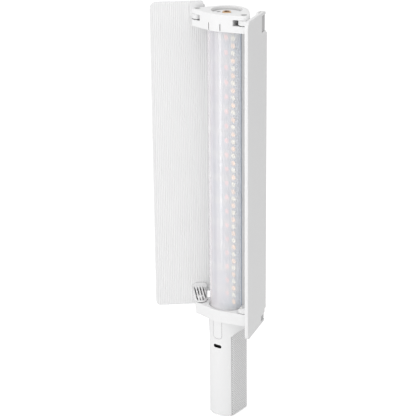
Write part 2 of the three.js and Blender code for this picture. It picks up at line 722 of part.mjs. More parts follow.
// ---------------------------------------------------------------------------------------------
// Doors, each in its own frame: x = side * s, y = q, and the hinge pin is the z axis
// ---------------------------------------------------------------------------------------------

function doorOutline(side) {
  const shape = new THREE.Shape();
  const at = (s, z) => [side * s, z];
  const corner = (s, z, r, from, to) => {
    const start = side > 0 ? from : Math.PI - from;
    const end = side > 0 ? to : Math.PI - to;
    shape.absarc(side * s, z, r, start, end, side < 0);
  };
  shape.moveTo(...at(DOOR_NOTCH_S + DOOR_HINGE_BOTTOM_RADIUS, DOOR_BOTTOM));
  shape.lineTo(...at(DOOR_FREE_S - DOOR_BOTTOM_RADIUS, DOOR_BOTTOM));
  corner(
    DOOR_FREE_S - DOOR_BOTTOM_RADIUS, DOOR_BOTTOM + DOOR_BOTTOM_RADIUS,
    DOOR_BOTTOM_RADIUS, -Math.PI / 2, 0,
  );
  shape.lineTo(...at(DOOR_FREE_S, DOOR_TOP - DOOR_TOP_RADIUS));
  corner(DOOR_FREE_S - DOOR_TOP_RADIUS, DOOR_TOP - DOOR_TOP_RADIUS, DOOR_TOP_RADIUS, 0, Math.PI / 2);
  corner(
    DOOR_NOTCH_S + DOOR_HINGE_TOP_RADIUS, DOOR_TOP - DOOR_HINGE_TOP_RADIUS,
    DOOR_HINGE_TOP_RADIUS, Math.PI / 2, Math.PI,
  );
  shape.lineTo(...at(DOOR_NOTCH_S, DOOR_NOTCH_TOP_Z));
  shape.lineTo(...at(DOOR_HINGE_S, DOOR_NOTCH_TOP_Z));
  shape.lineTo(...at(DOOR_HINGE_S, DOOR_NOTCH_BOTTOM_Z));
  shape.lineTo(...at(DOOR_NOTCH_S, DOOR_NOTCH_BOTTOM_Z));
  corner(
    DOOR_NOTCH_S + DOOR_HINGE_BOTTOM_RADIUS, DOOR_BOTTOM + DOOR_HINGE_BOTTOM_RADIUS,
    DOOR_HINGE_BOTTOM_RADIUS, Math.PI, Math.PI * 1.5,
  );
  return shape;
}

// Box between two distances from the pin, on whichever side of it the door reaches
function doorBox(side, s0, s1, q0, q1, z0, z1) {
  return box(Math.min(side * s0, side * s1), Math.max(side * s0, side * s1), q0, q1, z0, z1);
}

function doorPanel(name, door) {
  const outerQ = door.innerQ + DOOR_T;
  const slab = prismY(doorOutline(door.side), door.innerQ, outerQ);
  const windows = [UPPER_WINDOW, LOWER_WINDOW].map(([z0, z1]) => (
    doorBox(door.side, DOOR_HINGE_S - 1, WINDOW_FREE_S, door.innerQ - 1, outerQ + 1, z0, z1)
  ));
  const slope = new THREE.Shape();
  slope.moveTo(door.innerQ - 1, DOOR_NOTCH_BOTTOM_Z - 1);
  slope.lineTo(door.innerQ, DOOR_NOTCH_BOTTOM_Z + DOOR_CHAMFER_H);
  slope.lineTo(outerQ - 0.4, DOOR_NOTCH_BOTTOM_Z);
  slope.lineTo(outerQ - 0.4, DOOR_NOTCH_BOTTOM_Z - 1);
  const [x0, x1] = [DOOR_HINGE_S - 1, -PAD_HALF_S].map((s) => door.side * s).sort((a, b) => a - b);
  return part(name, cut(slab, ...windows, prismX(slope, x0, x1)), doorPlastic);
}

// The part of an arm that is fixed to the door: a pad on its inner face
function armPad(door, z0, z1) {
  const padBack = door.innerQ - GAP;
  return prismY(
    roundedRect(-PAD_HALF_S, PAD_HALF_S, z0, z1, PAD_CORNER),
    padBack - PAD_T, padBack,
  );
}

// Block that backs a pad: it fills the door's window and lies a little under the outer face
function hingeBlock(name, door, [windowZ0, windowZ1]) {
  const block = doorBox(
    door.side, DOOR_NOTCH_S, WINDOW_FREE_S - GAP,
    door.innerQ, door.innerQ + DOOR_T - BLOCK_RECESS,
    windowZ0 + GAP, windowZ1 - GAP,
  );
  return part(name, block, hingePlastic);
}

// Upper arm: a flat lug that turns in the cap's slot
function upperArm(name, door) {
  const z0 = CLEVIS_BOTTOM + 0.8;
  const z1 = CLEVIS_TOP - GAP;
  const reach = door.innerQ - GAP - PAD_T / 2;
  const lug = new THREE.Shape();
  lug.moveTo(LUG_R, 0);
  lug.lineTo(LUG_R, reach);
  lug.lineTo(-LUG_R, reach);
  lug.lineTo(-LUG_R, 0);
  lug.absarc(0, 0, LUG_R, Math.PI, 2 * Math.PI);
  const body = join(
    prismZ(lug, z0, z1, 12),
    armPad(door, DOOR_TOP - PAD_H, DOOR_TOP),
  );
  return part(name, body.subtract(post(boreRadius(PIN_R, 0.1), z0 - 1, z1 + 1)), doorPlastic);
}

// Side view of the lower arm in (y, z): a rounded nose over the pin, then a slope up to the door.
// A positive inset gives the same outline that much smaller, for the floor of the slots.
function rampOutline(door, inset) {
  const back = door.innerQ - GAP;
  const bottom = RAMP_BOTTOM - inset;
  const shape = new THREE.Shape();
  shape.moveTo(-RAMP_FRONT_Q + inset, bottom);
  shape.absarc(-RAMP_FRONT_Q + RAMP_NOSE_R, RAMP_BOTTOM, RAMP_NOSE_R - inset, Math.PI, Math.PI * 0.62, true);
  shape.lineTo(back, RAMP_TOP - inset);
  shape.lineTo(back, bottom);
  return shape;
}

// Leans a solid over towards the door's free edge, the more the higher it is
function lean(body, side) {
  const slope = side * RAMP_LEAN;
  return body.transform([
    1, 0, 0, 0,
    0, 1, 0, 0,
    slope, 0, 1, 0,
    -slope * RAMP_BOTTOM, 0, 0, 1,
  ]);
}

// Lower arm: a leaning ramp with four open slots, sitting on the bracket's ear
function lowerArm(name, door) {
  const span = Math.max(-RAMP_HINGE_S, RAMP_FREE_S) + 1;
  const plan = join(
    post(RAMP_FRONT_Q, RAMP_BOTTOM - 1, RAMP_TOP + 1, 0, 0, 28),
    doorBox(door.side, RAMP_HINGE_S, RAMP_FREE_S, 0, door.innerQ, RAMP_BOTTOM - 1, RAMP_TOP + 1),
  );
  const ramp = prismX(rampOutline(door, 0), -span, span, 6).intersect(plan);
  const slotCore = join(
    prismX(rampOutline(door, SLOT_DEPTH), -span, span, 4),
    post(PIN_R + 1.6, RAMP_BOTTOM, LOWER_PIN_TOP + 1.4),
  );
  const slots = [];
  for (let i = 0; i < SLOT_COUNT; i += 1) {
    const s = SLOT_FIRST_S + i * SLOT_PITCH;
    const blade = doorBox(
      door.side, s - SLOT_W / 2, s + SLOT_W / 2,
      -RAMP_FRONT_Q - 1, door.innerQ - PAD_T - GAP,
      RAMP_BOTTOM + 1.6, RAMP_TOP + 1,
    );
    slots.push(blade.subtract(slotCore));
  }
  const bore = post(boreRadius(PIN_R, 0.1), RAMP_BOTTOM - 1, LOWER_PIN_TOP + GAP);
  const body = join(
    lean(cut(ramp, ...slots), door.side),
    armPad(door, DOOR_BOTTOM, DOOR_BOTTOM + PAD_H),
  );
  return part(name, body.subtract(bore), doorPlastic);
}

function doorGroup(label, door) {
  const group = new THREE.Group();
  group.position.set(door.side * PIN_X, PIN_Y, 0);
  group.rotation.z = -door.side * door.restAngle;
  group.add(doorPanel(`${label}_door_panel`, door));
  group.add(upperArm(`${label}_door_upper_arm`, door));
  group.add(lowerArm(`${label}_door_lower_arm`, door));
  group.add(hingeBlock(`${label}_door_upper_block`, door, UPPER_WINDOW));
  group.add(hingeBlock(`${label}_door_lower_block`, door, LOWER_WINDOW));
  return group;
}

// ---------------------------------------------------------------------------------------------
// Assembly
// ---------------------------------------------------------------------------------------------

const lightTube = new THREE.Group();

lightTube.add(handleShell());
lightTube.add(gripPanel('grip_panel_left', -1));
lightTube.add(gripPanel('grip_panel_right', 1));
lightTube.add(baseCap());
lightTube.add(screw('base_screw_front', 0, -BASE_SCREW_Y, 0.4, 1.7, 4.2, 1));
lightTube.add(screw('base_screw_rear', 0, BASE_SCREW_Y, 0.4, 1.7, 4.2, 1));
lightTube.add(tongue());
lightTube.add(socketShell());
lightTube.add(socketBlade());
lightTube.add(batteryCell('battery_cell_front', -CELL_Y));
lightTube.add(batteryCell('battery_cell_rear', CELL_Y));
lightTube.add(contactPlate('contact_plate_bottom', CELL_BOTTOM - 1.1));
lightTube.add(contactPlate('contact_plate_top', CELL_BOTTOM + CELL_LENGTH + GAP));
lightTube.add(chargeBoard());
lightTube.add(controlBoard());
lightTube.add(controlPanel());
lightTube.add(displayWindow());
lightTube.add(displayModule());
lightTube.add(dialKnob());
lightTube.add(dialEncoder());

const buttonLabels = ['mode', 'power', 'channel'];
BUTTON_XS.forEach((x, i) => {
  lightTube.add(button(`${buttonLabels[i]}_button`, x));
  lightTube.add(tactSwitch(`${buttonLabels[i]}_switch`, x));
});

lightTube.add(lowerBracket());
lightTube.add(topCap());
lightTube.add(topInsert());

for (const [label, side] of [['left', -1], ['right', 1]]) {
  const capFloor = BODY_TOP - RECESS_DEPTH;
  lightTube.add(hingePin(`${label}_lower_hinge_pin`, side, LOWER_PIN_BOTTOM, LOWER_PIN_TOP));
  lightTube.add(hingePin(`${label}_upper_hinge_pin`, side, UPPER_PIN_BOTTOM, UPPER_PIN_TOP));
  lightTube.add(hingeWasher(`${label}_lower_washer`, side, BRACKET_TOP + 0.2));
  lightTube.add(hingeWasher(`${label}_upper_washer`, side, CLEVIS_BOTTOM + 0.2));
  lightTube.add(screw(`${label}_cap_screw`, side * CAP_SCREW_X, 0, capFloor - 0.1, 1.6, 8, -1));
}

lightTube.add(diffuser());
lightTube.add(tubeHousing());
lightTube.add(ledSpine());
lightTube.add(ledBoard());
lightTube.add(driverBoard());

lightTube.add(doorGroup('left', LEFT_DOOR));
lightTube.add(doorGroup('right', RIGHT_DOOR));

export default lightTube;
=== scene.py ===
"""Looks for a handheld LED light tube with two barn doors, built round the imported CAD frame.

Lengths written in this file are millimetres; MM turns them into Blender's metres.
"""

import json
import math

import bmesh
import bpy
from mathutils import Matrix, Vector


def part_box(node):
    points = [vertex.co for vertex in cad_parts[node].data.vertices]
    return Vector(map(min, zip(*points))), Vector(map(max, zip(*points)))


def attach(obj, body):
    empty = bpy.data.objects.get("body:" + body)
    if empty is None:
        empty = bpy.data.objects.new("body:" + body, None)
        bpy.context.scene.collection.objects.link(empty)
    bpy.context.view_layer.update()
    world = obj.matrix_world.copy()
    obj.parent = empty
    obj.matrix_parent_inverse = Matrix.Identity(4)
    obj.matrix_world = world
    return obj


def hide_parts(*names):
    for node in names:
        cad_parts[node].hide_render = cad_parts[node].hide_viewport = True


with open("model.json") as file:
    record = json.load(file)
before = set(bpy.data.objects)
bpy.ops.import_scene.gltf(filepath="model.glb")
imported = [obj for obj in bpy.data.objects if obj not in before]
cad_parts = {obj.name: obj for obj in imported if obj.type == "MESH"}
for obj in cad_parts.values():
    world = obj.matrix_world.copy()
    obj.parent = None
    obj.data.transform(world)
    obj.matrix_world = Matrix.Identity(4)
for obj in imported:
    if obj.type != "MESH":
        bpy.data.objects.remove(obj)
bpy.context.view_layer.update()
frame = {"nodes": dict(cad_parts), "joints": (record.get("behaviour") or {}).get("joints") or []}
nodes = frame["nodes"]

MM = 0.001

# Camera: it aims at a point on the tube's axis, moved left across the view
CAMERA_AZIMUTH = math.radians(35.489)
CAMERA_ELEVATION = math.radians(20.062)
CAMERA_ROLL = math.radians(-0.542)
CAMERA_DISTANCE = 1562.8
CAMERA_AIM_HEIGHT = 225.73
CAMERA_AIM_LEFT = 19.858
LENS = 133.52
SENSOR = 36.0

# Doors: s runs from the hinge pin to the free edge, q runs outwards from the pin. Both faces are
# ribbed. The two corners at the pin are notched, and each has an opening for a hinge block.
DOOR_T = 3.3
DOOR_HINGE_S = -11.0
DOOR_FREE_S = 46.1
NOTCH_S = -7.9
STRIP_S = -6.9
NOTCH_TOP_Z = 412.6
NOTCH_BOTTOM_Z = 124.6
CHAMFER_H = 5.6
WINDOW_FREE_S = 4.3
UPPER_WINDOW = (414.8, 431.0)
LOWER_WINDOW = (114.2, 120.4)
TOP_RADIUS = 6.5
BOTTOM_RADIUS = 5.0
HINGE_TOP_RADIUS = 2.6
HINGE_BOTTOM_RADIUS = 1.8
RIB_PITCH = 1.87
RIB_DEPTH = 0.3
RIB_SHADE = 0.1
RIB_MARGIN = 1.8
FIRST_RIB_S = -4.5 * RIB_PITCH
DOORS = {
    "left": {"side": -1, "angle": math.radians(40.4), "inner_q": 12.4},
    "right": {"side": 1, "angle": math.radians(74.8), "inner_q": 16.2},
}

# Columns of points in one groove, and the least gap between one of them and a door's own corners
GROOVE_STEPS = 6
COLUMN_GAP = 0.12
DOOR_ROUND = 0.45

# Rows of a door's faces, counted upwards. The strips over and under the windows end at STRIP_S,
# level with the hinge blocks.
DOOR_ROWS = 7
MIDDLE_ROW = 3
WINDOW_ROWS = (1, 5)
STRIP_ROWS = (0, 6)

# Grip panels
GRIP_SHOULDER_Z = 91.4
KNURL_PITCH = 2.6
KNURL_DEPTH = 0.6
KNURL_SHADE = 0.6
GRIP_RIM = 0.7
SLAB_T = 0.3

# LEDs
LED_COLUMNS = (-8.1, 0.0, 8.1)
LED_PITCH = 7.51
LED_SIZE = 5.7
LED_HEIGHT = 0.8
LED_CHAMFER = 0.15
DOME_SEGMENTS = 12
# Each ring of a dome: its radius over half the LED's size, and its height over the case
DOME_RINGS = ((0.92, -0.05), (0.84, 0.12), (0.48, 0.30))

# Diffuser: its radius, how far the clouds shift its tint in radii, and the pitch of the whitish bands of
# painted glints on it
DIFFUSER_R = 19.1
CLOUD_SPREAD = 1.2
PAINTED_GLOW_PITCH = 24.0

# Stage and light
FLOOR_HALF = 6000
FLOOR_Z = -0.4
WORLD_AS_LIGHT = 0.71
WORLD_AS_SEEN = 1.05
FLOOR_GLOW_AS_SEEN = 0.4

# Painted shade in hollows: its reach in mm, and how open a point is when it is no longer darkened
SLOTS_ONLY = (4.0, 0.42)
RECESSES_TOO = (5.0, 0.84)
FULLY_DARK_AT = 0.02
HOLLOW_SAMPLES = 8

# Smoothing: the sharpest edge, in degrees, that is still shaded smooth
SMOOTH_ANGLE = 32
SMOOTH_ANGLE_ROUNDED = 50
WELD_DISTANCE = 0.004

SQUARE = ((-1, -1), (1, -1), (1, 1), (-1, 1))


# ---------------------------------------------------------------------------------------------
# Materials
# ---------------------------------------------------------------------------------------------


class Nodes:
    """A short way to write a material's node tree."""

    def __init__(self, name):
        self.material = bpy.data.materials.new(name)
        self.material.use_nodes = True
        self.tree = self.material.node_tree
        self.tree.nodes.clear()
        self.output = self.add("ShaderNodeOutputMaterial")
        self.coords = self.add("ShaderNodeTexCoord").outputs["Object"]

    def add(self, kind, **inputs):
        node = self.tree.nodes.new(kind)
        for key, value in inputs.items():
            self.put(node.inputs[key.replace("_", " ")], value)
        return node

    def put(self, socket, value):
        if isinstance(value, bpy.types.NodeSocket):
            self.tree.links.new(value, socket)
        else:
            socket.default_value = value

    def noise(self, scale, detail=2.0, stretch=(1, 1, 1)):
        """Smooth noise round 0.5, with about as many patches to the metre as the scale says."""
        mapping = self.add("ShaderNodeMapping", Vector=self.coords)
        mapping.inputs["Scale"].default_value = stretch
        node = self.add("ShaderNodeTexNoise", Vector=mapping.outputs["Vector"], Scale=scale, Detail=detail)
        return node.outputs["Fac"]

    def remap(self, value, low, high, from_low=0.3, from_high=0.7):
        node = self.add("ShaderNodeMapRange", Value=value)
        node.inputs["From Min"].default_value = from_low
        node.inputs["From Max"].default_value = from_high
        node.inputs["To Min"].default_value = low
        node.inputs["To Max"].default_value = high
        return node.outputs["Result"]

    def calc(self, operation, first, second=0.0):
        node = self.add("ShaderNodeMath")
        node.operation = operation
        self.put(node.inputs[0], first)
        self.put(node.inputs[1], second)
        return node.outputs[0]

    def axes(self):
        """The point's x, y and z in metres."""
        return self.add("ShaderNodeSeparateXYZ", Vector=self.coords).outputs

    def ribs(self):
        """Mask for painted shade in a door's grooves: 1 in their bottoms, 0 on the ribs between them."""
        phase = self.calc("MULTIPLY", self.axes()["X"], 2 * math.pi / (RIB_PITCH * MM))
        return self.remap(self.calc("COSINE", phase), 0.0, 1.0, -1.0, 1.0)

    def knurl(self):
        """Mask for painted shade in a grip's valleys: 1 between its pyramids, 0 on their points."""
        place = self.axes()
        turn = 2 * math.pi / (KNURL_PITCH * MM)
        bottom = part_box("grip_panel_left")[0].z
        along = self.calc("COSINE", self.calc("MULTIPLY", place["Y"], turn))
        height = self.calc("SUBTRACT", place["Z"], bottom)
        up = self.calc("COSINE", self.calc("MULTIPLY", height, turn))
        return self.remap(self.calc("MULTIPLY", along, up), 1.0, 0.0, -1.0, 1.0)

    def painted_hollow_shade(self, reach_mm, open_at):
        """Mask for painted shade: 1 on open surfaces, falling to 0 deep in a slot or a hole."""
        node = self.add("ShaderNodeAmbientOcclusion", Distance=reach_mm * MM)
        node.samples = HOLLOW_SAMPLES
        return self.remap(node.outputs["AO"], 0.0, 1.0, FULLY_DARK_AT, open_at)

    def mix(self, factor, first, second):
        """A colour mix. The node's sockets 6, 7 and its output 2 are the ones for colours."""
        node = self.add("ShaderNodeMix")
        node.data_type = "RGBA"
        self.put(node.inputs[0], factor)
        self.put(node.inputs[6], first)
        self.put(node.inputs[7], second)
        return node.outputs[2]

    def bump(self, height, depth_mm):
        node = self.add("ShaderNodeBump", Height=height, Strength=1.0, Distance=depth_mm * MM)
        return node.outputs["Normal"]

    def principled(self, **inputs):
        return self.add("ShaderNodeBsdfPrincipled", **inputs)

    def finish(self, shader):
        self.tree.links.new(shader.outputs[0], self.output.inputs["Surface"])
        return self.material


def grey(value, red=0.0, blue=0.0):
    return (value + red, value, value + blue, 1.0)


# Colour of the painted shade in the door ribs' grooves and the grip knurl's valleys
GROOVE_PAINTED_SHADE = grey(0.3)


def moulded_plastic(
    name,
    light,
    dark,
    rough,
    grain_mm,
    grain_depth,
    specular=0.5,
    pattern=None,
    painted_hollow_shade=SLOTS_ONLY,
    deepest=0.18,
):
    """Moulded plastic: a fine spark-eroded grain, with faint drifts in tone and gloss.

    The pattern, "ribs" or "knurl", paints shade into the grooves. Hollows get painted shade, down to the
    deepest share of the tone.
    """
    n = Nodes(name)
    drift = n.noise(9.0, 3.0)
    grain = n.noise(1.0 / (grain_mm * MM), 2.0)
    tone = n.mix(n.remap(drift, 0.0, 1.0), light, dark)
    if pattern == "ribs":
        tone = n.mix(n.calc("MULTIPLY", n.ribs(), RIB_SHADE), tone, GROOVE_PAINTED_SHADE)
    if pattern == "knurl":
        tone = n.mix(n.calc("MULTIPLY", n.knurl(), KNURL_SHADE), tone, GROOVE_PAINTED_SHADE)
    painted_shade_colour = tuple(deepest * c for c in light[:3]) + (1.0,)
    shader = n.principled(
        Base_Color=n.mix(n.painted_hollow_shade(*painted_hollow_shade), painted_shade_colour, tone),
        Roughness=n.remap(grain, rough - 0.05, rough + 0.05),
        Specular_IOR_Level=specular,
        Normal=n.bump(grain, grain_depth),
    )
    return n.finish(shader)


def brushed_metal(name, light, dark, rough, stretch=(1, 1, 0.06)):
    """Metal with fine scratches along one direction."""
    n = Nodes(name)
    scratch = n.noise(2200.0, 3.0, stretch)
    stain = n.noise(120.0, 3.0)
    shader = n.principled(
        Base_Color=n.mix(n.remap(stain, 0.0, 1.0), light, dark),
        Metallic=1.0,
        Roughness=n.remap(scratch, rough - 0.07, rough + 0.09),
        Normal=n.bump(scratch, 0.01),
    )
    return n.finish(shader)


def frosted_diffuser(name):
    """Milky tube: some light passes straight through, so that the LEDs show as soft dots."""
    n = Nodes(name)
    cloud = n.noise(26.0, 2.0, (1, 1, 0.8))
    frost = n.noise(1600.0, 2.0)
    place = n.axes()
    sideways = n.calc("MULTIPLY", place["X"], 1.0 / (DIFFUSER_R * MM))
    wander = n.calc("MULTIPLY", n.calc("SUBTRACT", cloud, 0.5), CLOUD_SPREAD)
    across = n.calc("ADD", sideways, wander)
    pinkish = (0.96, 0.92, 0.95, 1)
    bluish = (0.91, 0.95, 1.0, 1)
    tint = n.mix(n.remap(across, 0.0, 1.0, -0.6, 0.9), pinkish, bluish)
    # Whitish bands along the tube, stronger where the clouds are: painted glints, mixed into the tint.
    beat = n.calc("COSINE", n.calc("MULTIPLY", place["Z"], 2 * math.pi / (PAINTED_GLOW_PITCH * MM)))
    painted_glow = n.calc("MULTIPLY", n.remap(beat, 0.0, 1.0, 0.1, 1.0), n.remap(cloud, 0.3, 1.0, 0.35, 0.6))
    tint = n.mix(n.calc("MULTIPLY", painted_glow, 0.6), tint, grey(1.0))
    shader = n.principled(
        Base_Color=tint,
        Roughness=n.remap(frost, 0.13, 0.19),
        Specular_IOR_Level=0.6,
        Coat_Weight=1.0,
        Coat_Roughness=0.1,
        Alpha=0.5,
        Normal=n.bump(frost, 0.002),
    )
    return n.finish(shader)


def circuit_board(name, base, trace, pitch_mm, painted_glow=0.0):
    """Solder mask with fine copper tracks under it. A painted glow can make it give off light, though it is
    no lamp.
    """
    n = Nodes(name)
    mapping = n.add("ShaderNodeMapping", Vector=n.coords)
    mapping.inputs["Rotation"].default_value = (math.radians(90), 0, 0)
    brick = n.add(
        "ShaderNodeTexBrick",
        Vector=mapping.outputs["Vector"],
        Color1=grey(0.0),
        Color2=grey(0.0),
        Mortar=grey(1.0),
        Scale=1.0 / (pitch_mm * MM),
    )
    brick.inputs["Mortar Size"].default_value = 0.03
    tracks = brick.outputs["Fac"]
    shader = n.principled(
        Base_Color=n.mix(tracks, base, trace),
        Emission_Color=base,
        Emission_Strength=painted_glow,
        Roughness=n.remap(n.noise(700.0), 0.32, 0.45),
        Normal=n.bump(tracks, 0.03),
    )
    return n.finish(shader)


def shrink_wrap(name):
    """Glossy heat-shrunk sleeve with faint vertical creases."""
    n = Nodes(name)
    crease = n.noise(300.0, 4.0, (1, 1, 0.1))
    shader = n.principled(
        Base_Color=n.mix(n.remap(crease, 0.0, 1.0), (0.02, 0.16, 0.36, 1), (0.03, 0.21, 0.45, 1)),
        Roughness=n.remap(crease, 0.22, 0.34),
        Normal=n.bump(crease, 0.05),
    )
    return n.finish(shader)


def display_glass(name):
    """Dark glass over the display, with a faint smear in its gloss."""
    n = Nodes(name)
    smear = n.noise(60.0, 4.0)
    shader = n.principled(
        Base_Color=n.mix(n.remap(smear, 0.0, 1.0), grey(0.006, 0, 0.002), grey(0.011, 0, 0.004)),
        Roughness=n.remap(smear, 0.04, 0.12),
        Normal=n.bump(n.noise(500.0), 0.001),
    )
    return n.finish(shader)


def led_phosphor(name, light, dark, painted_glow):
    """Silicone dome over an LED die: grainy phosphor in clear resin, with a painted glow: it gives off light
    though the lamp is off.
    """
    n = Nodes(name)
    grain = n.noise(5200.0, 2.0)
    tone = n.mix(n.remap(grain, 0.0, 1.0), light, dark)
    shader = n.principled(
        Base_Color=tone,
        Roughness=n.remap(grain, 0.2, 0.4),
        Emission_Color=tone,
        Emission_Strength=painted_glow,
        Normal=n.bump(grain, 0.01),
    )
    return n.finish(shader)


WHITE = moulded_plastic("white_plastic_look", grey(0.86), grey(0.84, 0, 0.004), 0.42, 0.35, 0.006)
DOOR = moulded_plastic("door_plastic_look", grey(0.85), grey(0.83, 0, 0.003), 0.48, 0.3, 0.006)
RIBBED = moulded_plastic(
    "ribbed_plastic_look", grey(0.87), grey(0.85, 0, 0.003), 0.48, 0.3, 0.006, pattern="ribs"
)
# The cap's recess walls and ear holes get painted shade too, with a longer reach.
CAP = moulded_plastic(
    "cap_plastic_look", grey(0.87), grey(0.85, 0, 0.003), 0.48, 0.3, 0.006, painted_hollow_shade=RECESSES_TOO, deepest=0.22
)
# The tube housing is greyer than the other white parts: painted shade from the door beside it.
HOUSING_PAINTED_SHADE = moulded_plastic("housing_painted_shade_look", grey(0.76), grey(0.74, 0, 0.003), 0.45, 0.35, 0.006)
# The hinge blocks are a darker grey: painted shade of the openings in the doors.
HINGE_PAINTED_SHADE = moulded_plastic("hinge_painted_shade_look", grey(0.56), grey(0.52), 0.6, 0.3, 0.01)
GRIP = moulded_plastic(
    "grip_plastic_look", grey(0.98), grey(0.95, 0, 0.004), 0.62, 0.25, 0.012, 0.3, pattern="knurl"
)
BLACK = moulded_plastic("black_plastic_look", grey(0.012), grey(0.018), 0.42, 0.3, 0.01)
SOCKET = brushed_metal("socket_metal_look", grey(0.03), grey(0.015), 0.4, (1, 0.06, 1))
STEEL = brushed_metal("steel_look", grey(0.62), grey(0.5), 0.3)
BRASS = brushed_metal("brass_look", (0.86, 0.58, 0.34, 1), (0.70, 0.46, 0.26, 1), 0.24)
ALUMINIUM = brushed_metal("aluminium_look", (0.57, 0.63, 0.73, 1), (0.51, 0.57, 0.66, 1), 0.42)
BOARD = circuit_board("circuit_board_look", (0.012, 0.10, 0.05, 1), (0.03, 0.19, 0.09, 1), 2.4)
# The LED board has a faint painted glow of its own.
LED_BOARD = circuit_board("led_board_look", (0.80, 0.81, 0.85, 1), (0.76, 0.76, 0.79, 1), 9.0, 0.12)
CELL = shrink_wrap("cell_wrap_look")
GLASS = display_glass("dark_glass_look")
DIFFUSER = frosted_diffuser("diffuser_look")
LED_CASE = moulded_plastic("led_case_look", grey(0.80), grey(0.76), 0.35, 0.2, 0.004)
# The LED domes carry painted glow: they give off light though the lamp is off.
LED_WARM = led_phosphor("led_warm_look", (1.0, 0.62, 0.36, 1), (0.92, 0.56, 0.32, 1), 1.08)
LED_COOL = led_phosphor("led_cool_look", (0.98, 0.90, 0.68, 1), (0.90, 0.82, 0.60, 1), 0.9)
LED_COLOUR = led_phosphor("led_colour_look", (0.90, 0.40, 0.34, 1), (0.80, 0.34, 0.30, 1), 0.9)

SLOT_LOOKS = {
    "white_plastic": WHITE,
    "door_plastic": DOOR,
    "hinge_plastic": HINGE_PAINTED_SHADE,
    "grip_plastic": GRIP,
    "diffuser": DIFFUSER,
    "black_plastic": BLACK,
    "steel": STEEL,
    "brass": BRASS,
    "aluminium": ALUMINIUM,
    "circuit_board": BOARD,
    "led_board_white": LED_BOARD,
    "cell_wrap": CELL,
    "dark_glass": GLASS,
}


# ---------------------------------------------------------------------------------------------
# Shading and rounding of carried-over CAD nodes
# ---------------------------------------------------------------------------------------------


def smoothing_group(name, angle_deg, weld):
    """Geometry nodes that shade a mesh smooth, except across edges sharper than the angle.

    Welding drops the stored normals first, and joins the points that the file keeps apart.
    """
    group = bpy.data.node_groups.new(name, "GeometryNodeTree")
    group.interface.new_socket("Geometry", in_out="INPUT", socket_type="NodeSocketGeometry")
    group.interface.new_socket("Geometry", in_out="OUTPUT", socket_type="NodeSocketGeometry")
    first = group.nodes.new("NodeGroupInput")
    last = group.nodes.new("NodeGroupOutput")
    stream = first.outputs[0]
    if weld:
        drop = group.nodes.new("GeometryNodeRemoveAttribute")
        drop.inputs["Name"].default_value = "custom_normal"
        group.links.new(stream, drop.inputs["Geometry"])
        merge = group.nodes.new("GeometryNodeMergeByDistance")
        merge.inputs["Distance"].default_value = WELD_DISTANCE * MM
        group.links.new(drop.outputs["Geometry"], merge.inputs["Geometry"])
        stream = merge.outputs["Geometry"]
    faces = group.nodes.new("GeometryNodeSetShadeSmooth")
    faces.domain = "FACE"
    faces.inputs["Shade Smooth"].default_value = True
    group.links.new(stream, faces.inputs[0])
    angle = group.nodes.new("GeometryNodeInputMeshEdgeAngle")
    sharper = group.nodes.new("FunctionNodeCompare")
    sharper.data_type = "FLOAT"
    sharper.operation = "GREATER_THAN"
    sharper.inputs["B"].default_value = math.radians(angle_deg)
    group.links.new(angle.outputs["Unsigned Angle"], sharper.inputs["A"])
    edges = group.nodes.new("GeometryNodeSetShadeSmooth")
    edges.domain = "EDGE"
    edges.inputs["Shade Smooth"].default_value = False
    group.links.new(faces.outputs[0], edges.inputs[0])
    group.links.new(sharper.outputs["Result"], edges.inputs["Selection"])
    group.links.new(edges.outputs[0], last.inputs[0])
    return group


WELD_AND_SMOOTH = smoothing_group("weld_and_smooth", SMOOTH_ANGLE, True)
SMOOTH_AGAIN = smoothing_group("smooth_again", SMOOTH_ANGLE_ROUNDED, False)


def add_nodes(piece, group):
    modifier = piece.modifiers.new(group.name, "NODES")
    modifier.node_group = group


def round_edges(piece, width_mm, angle_deg=40):
    bevel = piece.modifiers.new("round", "BEVEL")
    bevel.width = width_mm * MM
    bevel.segments = 3
    bevel.limit_method = "ANGLE"
    bevel.angle_limit = math.radians(angle_deg)
    bevel.miter_outer = "MITER_ARC"
    bevel.harden_normals = False


def weigh_normals(piece):
    weighted = piece.modifiers.new("normals", "WEIGHTED_NORMAL")
    weighted.keep_sharp = True
    weighted.weight = 80


def dress_cad_node(name, look, round_mm=0.0):
    piece = nodes[name]
    piece.data.materials.clear()
    piece.data.materials.append(look)
    add_nodes(piece, WELD_AND_SMOOTH)
    if round_mm:
        flat = piece.modifiers.new("flat faces", "DECIMATE")
        flat.decimate_type = "DISSOLVE"
        flat.angle_limit = math.radians(1.0)
        round_edges(piece, round_mm)
        add_nodes(piece, SMOOTH_AGAIN)
    weigh_normals(piece)


# ---------------------------------------------------------------------------------------------
# Mesh helpers
# ---------------------------------------------------------------------------------------------


def new_piece(name, points_mm, faces, looks, matrix=None, face_looks=None):
    mesh = bpy.data.meshes.new(name)
    mesh.from_pydata([Vector(p) * MM for p in points_mm], [], faces)
    for look in looks:
        mesh.materials.append(look)
    if face_looks:
        mesh.polygons.foreach_set("material_index", face_looks)
    mesh.update()
    piece = bpy.data.objects.new(name, mesh)
    if matrix is not None:
        piece.matrix_world = matrix
    bpy.context.scene.collection.objects.link(piece)
    return piece


def apply_modifiers(piece):
    graph = bpy.context.evaluated_depsgraph_get()
    mesh = bpy.data.meshes.new_from_object(piece.evaluated_get(graph))
    piece.modifiers.clear()
    piece.data = mesh


def combine(piece, tool, operation):
    """Joins, cuts or intersects a piece with another, which is then removed."""
    modifier = piece.modifiers.new("shape", "BOOLEAN")
    modifier.object = tool
    modifier.operation = operation
    modifier.solver = "EXACT"
    apply_modifiers(piece)
    bpy.data.objects.remove(tool)


def fix_normals(piece):
    mesh = bmesh.new()
    mesh.from_mesh(piece.data)
    bmesh.ops.recalc_face_normals(mesh, faces=mesh.faces)
    mesh.to_mesh(piece.data)
    mesh.free()


